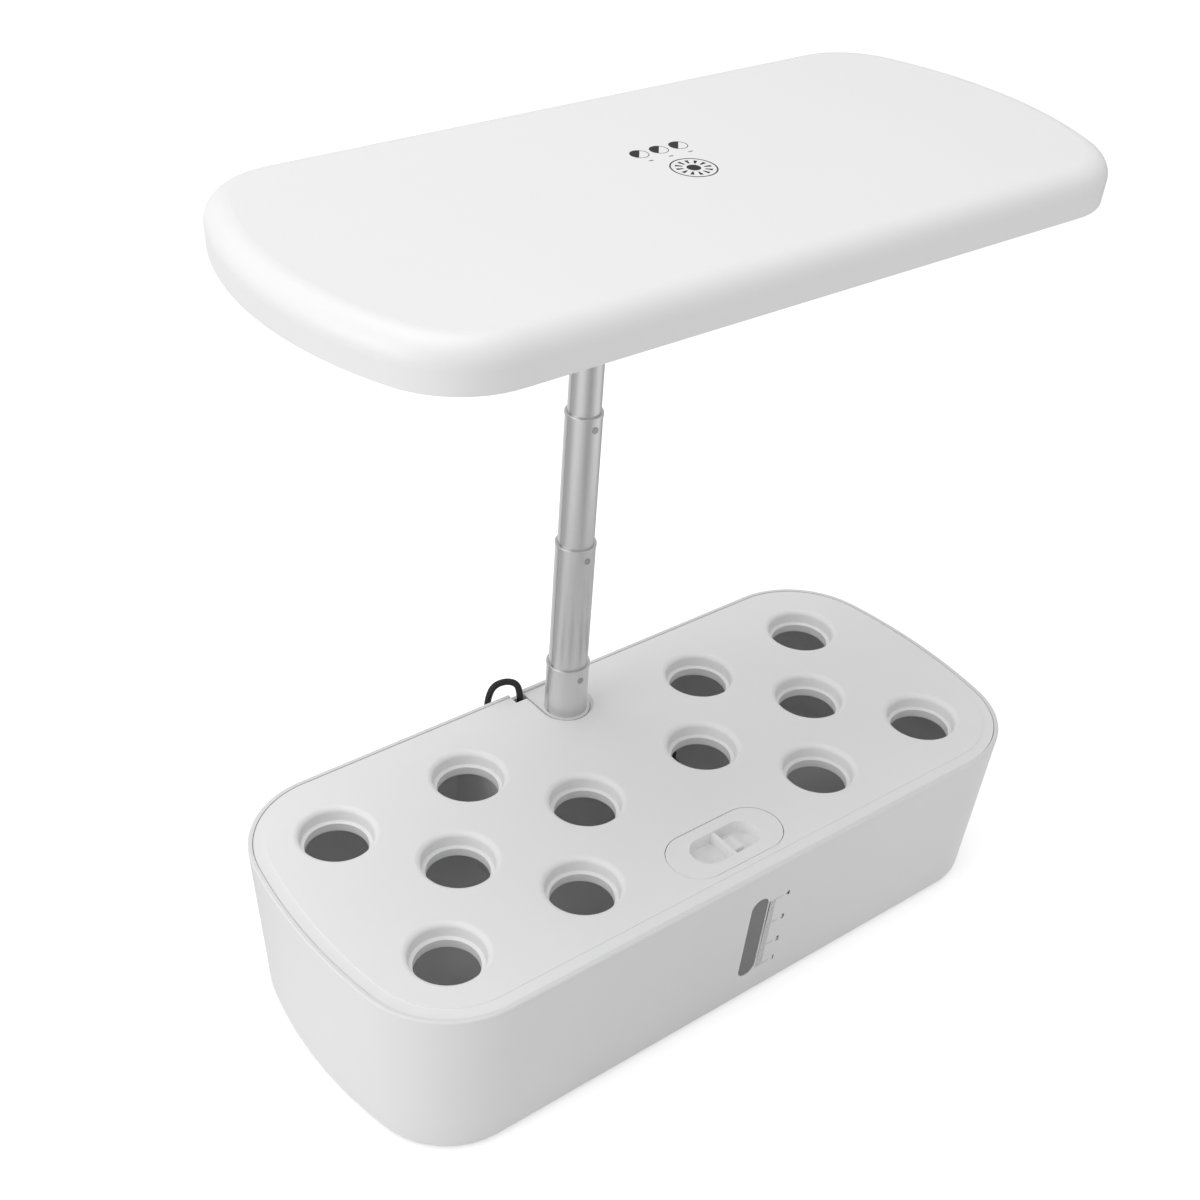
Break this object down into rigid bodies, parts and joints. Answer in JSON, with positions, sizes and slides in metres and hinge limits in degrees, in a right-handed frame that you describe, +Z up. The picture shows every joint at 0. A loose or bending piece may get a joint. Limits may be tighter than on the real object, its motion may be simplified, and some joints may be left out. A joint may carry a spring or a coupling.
{
  "type": "countertop hydroponic garden",
  "caption": "Indoor hydroponic planter: a water tank in a white casing with a holed planting deck, and a flat LED grow lamp on a telescopic pole behind it.",
  "frame": {"origin": "on the table, under the middle of the hole pattern, at the middle foot's underside", "axes": "+X along the casing to the right, +Y to the back where the pole stands, +Z up"},
  "size_m": [0.3944, 0.1888, 0.4027],
  "materials": {
    "casing_white": "fine moulded matt",
    "deck_white": "fine moulded matt",
    "hood_white": "soft satin moulded",
    "inner_white": "moulded",
    "tank_smoke": "smoke grey, lightly glossy",
    "window_smoke": "smooth, see-through grey",
    "seal_rubber": "matt",
    "foot_rubber": "matt",
    "screw_steel": "zinc plated",
    "tube_steel": "satin, drawn lengthways",
    "bush_plastic": "self-lubricating",
    "pump_black": "moulded",
    "cord_black": "matt soft PVC",
    "sponge_black": "open foam",
    "rotor_grey": "moulded over a magnet",
    "ceramic": "ground ceramic",
    "board_white": "white solder mask",
    "board_green": "green solder mask",
    "lamp_yellow": "phosphor dome",
    "clear_cover": "clear, smooth",
    "aluminium": "rolled sheet",
    "component_dark": "moulded",
    "indicator_clear": "clear light pipe"
  },
  "bodies": {
    "base": {"outer_casing": "casing_white", "base_plate": "casing_white", "base_feet": "foot_rubber", "base_screws": "screw_steel", "water_tank": "tank_smoke", "level_window": "window_smoke", "window_gasket": "seal_rubber", "pole_mount": "inner_white", "mount_screws": "screw_steel", "tube_1": "tube_steel", "tube_1_rivet": "tube_steel", "supply_inlet": "component_dark", "pump_socket": "component_dark", "jack_board": "board_green", "pump_lead": "cord_black", "lead_plug": "cord_black", "pump_body": "pump_black", "pump_cover": "pump_black", "pump_nozzle": "pump_black", "pump_sponge": "sponge_black", "pump_cups": "seal_rubber", "pump_shaft": "ceramic"},
    "deck": {"planting_deck": "deck_white"},
    "refill": {"refill_cover": "deck_white"},
    "rotor": {"impeller": "rotor_grey"},
    "pole_2": {"tube_2": "tube_steel", "tube_2_rivet": "tube_steel", "tube_2_bush": "bush_plastic"},
    "pole_3": {"tube_3": "tube_steel", "tube_3_rivet": "tube_steel", "tube_3_bush": "bush_plastic"},
    "lamp_head": {"tube_4": "tube_steel", "tube_4_bush": "bush_plastic", "hood_shell": "hood_white", "hood_base": "hood_white", "hood_screws": "screw_steel", "led_cover": "clear_cover", "led_board": "board_white", "board_posts": "inner_white", "leds": "lamp_yellow", "heat_spreader": "aluminium", "board_screws": "screw_steel", "driver_board": "board_green", "driver_parts": "component_dark", "touch_board": "board_green", "indicator_lights": "indicator_clear", "pole_socket": "hood_white", "socket_screws": "screw_steel"}
  },
  "joints": [
    {"name": "deck_lift", "type": "slide", "parent": "base", "child": "deck", "axis": [0, 0, 1], "range_m": [0, 0.04]},
    {"name": "refill_lift", "type": "slide", "parent": "deck", "child": "refill", "axis": [0, 0, 1], "range_m": [0, 0.03]},
    {"name": "rotor_spin", "type": "hinge", "parent": "base", "child": "rotor", "pos_m": [0.046, 0.05, 0.0275], "axis": [0, 1, 0], "continuous": true},
    {"name": "pole_slide_1", "type": "slide", "parent": "base", "child": "pole_2", "axis": [0, 0, 1], "range_m": [-0.07, 0]},
    {"name": "pole_slide_2", "type": "slide", "parent": "pole_2", "child": "pole_3", "axis": [0, 0, 1], "range_m": [-0.07, 0]},
    {"name": "pole_slide_3", "type": "slide", "parent": "pole_3", "child": "lamp_head", "axis": [0, 0, 1], "range_m": [-0.07, 0]}
  ]
}
